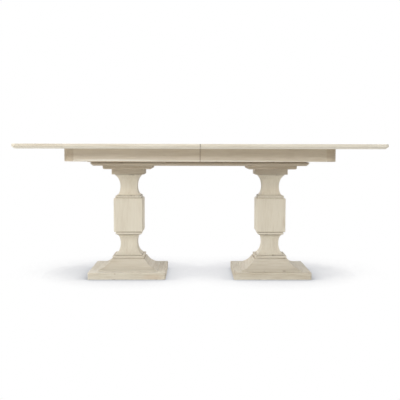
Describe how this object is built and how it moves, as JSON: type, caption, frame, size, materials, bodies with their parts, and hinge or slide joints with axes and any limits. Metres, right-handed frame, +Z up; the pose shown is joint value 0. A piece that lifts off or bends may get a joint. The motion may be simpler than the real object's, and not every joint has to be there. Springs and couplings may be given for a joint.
{
  "type": "dining table",
  "caption": "Rectangular extension dining table: a top and apron in two sliding halves on a pair of square baluster pedestals joined by a bevelled subframe.",
  "frame": {"origin": "on the floor under the middle of the table", "axes": "+X along the table's length, +Y across it from the front to the back, +Z up"},
  "size_m": [1.93, 1.118, 0.762],
  "materials": {
    "cream_finish": "cream wash on wood, satin, with a faint grain and a darker glaze in the mouldings",
    "bare_hardwood": "clear sealed hardwood",
    "white_nylon": "moulded nylon",
    "brown_nylon": "moulded nylon",
    "zinc_steel": "zinc plated",
    "lock_brass": "brass plated, dull"
  },
  "bodies": {
    "base": {"left_base_slab": "cream_finish", "left_foot_cove": "cream_finish", "left_lower_shaft": "cream_finish", "left_block": "cream_finish", "left_upper_shaft": "cream_finish", "left_abacus": "cream_finish", "left_capital_plate": "cream_finish", "left_bearer": "bare_hardwood", "right_base_slab": "cream_finish", "right_foot_cove": "cream_finish", "right_lower_shaft": "cream_finish", "right_block": "cream_finish", "right_upper_shaft": "cream_finish", "right_abacus": "cream_finish", "right_capital_plate": "cream_finish", "right_bearer": "bare_hardwood", "floor_glides": "brown_nylon", "tie_rods": "zinc_steel", "tie_rod_nuts": "zinc_steel", "tie_rod_washers": "zinc_steel", "bearer_bolts": "zinc_steel", "subframe_front_rail": "cream_finish", "subframe_back_rail": "cream_finish", "subframe_left_end": "cream_finish", "subframe_right_end": "cream_finish", "centre_stretcher": "bare_hardwood", "front_runner": "bare_hardwood", "back_runner": "bare_hardwood", "subframe_screws": "zinc_steel", "gear_block": "bare_hardwood", "gear_axle": "zinc_steel"},
    "gear": {"pinion": "white_nylon"},
    "left_top": {"left_top_panel": "cream_finish", "left_front_apron": "cream_finish", "left_back_apron": "cream_finish", "left_end_apron": "cream_finish", "left_corner_blocks": "cream_finish", "left_front_slide": "bare_hardwood", "left_back_slide": "bare_hardwood", "left_end_cleat": "bare_hardwood", "left_seam_cleat": "bare_hardwood", "left_rack": "white_nylon", "left_screws": "zinc_steel", "seam_dowels": "bare_hardwood", "lock_plates": "lock_brass"},
    "right_top": {"right_top_panel": "cream_finish", "right_front_apron": "cream_finish", "right_back_apron": "cream_finish", "right_end_apron": "cream_finish", "right_corner_blocks": "cream_finish", "right_front_slide": "bare_hardwood", "right_back_slide": "bare_hardwood", "right_end_cleat": "bare_hardwood", "right_seam_cleat": "bare_hardwood", "right_rack": "white_nylon", "right_screws": "zinc_steel", "lock_keepers": "lock_brass"},
    "front_lever": {"front_lock_lever": "lock_brass"},
    "back_lever": {"back_lock_lever": "lock_brass"}
  },
  "joints": [
    {"name": "right_top_slide", "type": "slide", "parent": "base", "child": "right_top", "axis": [1, 0, 0], "range_m": [0, 0.285]},
    {"name": "left_top_slide", "type": "slide", "parent": "base", "child": "left_top", "axis": [-1, 0, 0], "range_m": [0, 0.285]},
    {"name": "pinion_spin", "type": "hinge", "parent": "base", "child": "gear", "pos_m": [0, 0, 0.7126], "axis": [0, 0, 1], "range_deg": [-606, 0]},
    {"name": "front_lock_turn", "type": "hinge", "parent": "left_top", "child": "front_lever", "pos_m": [-0.03, -0.3, 0.7154], "axis": [0, 0, 1], "range_deg": [0, 90]},
    {"name": "back_lock_turn", "type": "hinge", "parent": "left_top", "child": "back_lever", "pos_m": [-0.03, 0.3, 0.7154], "axis": [0, 0, -1], "range_deg": [0, 90]}
  ],
  "couplings": [
    {"joint": "left_top_slide", "follows": "right_top_slide", "ratio": 1},
    {"joint": "pinion_spin", "follows": "right_top_slide", "rad_per_m": -37.037}
  ]
}
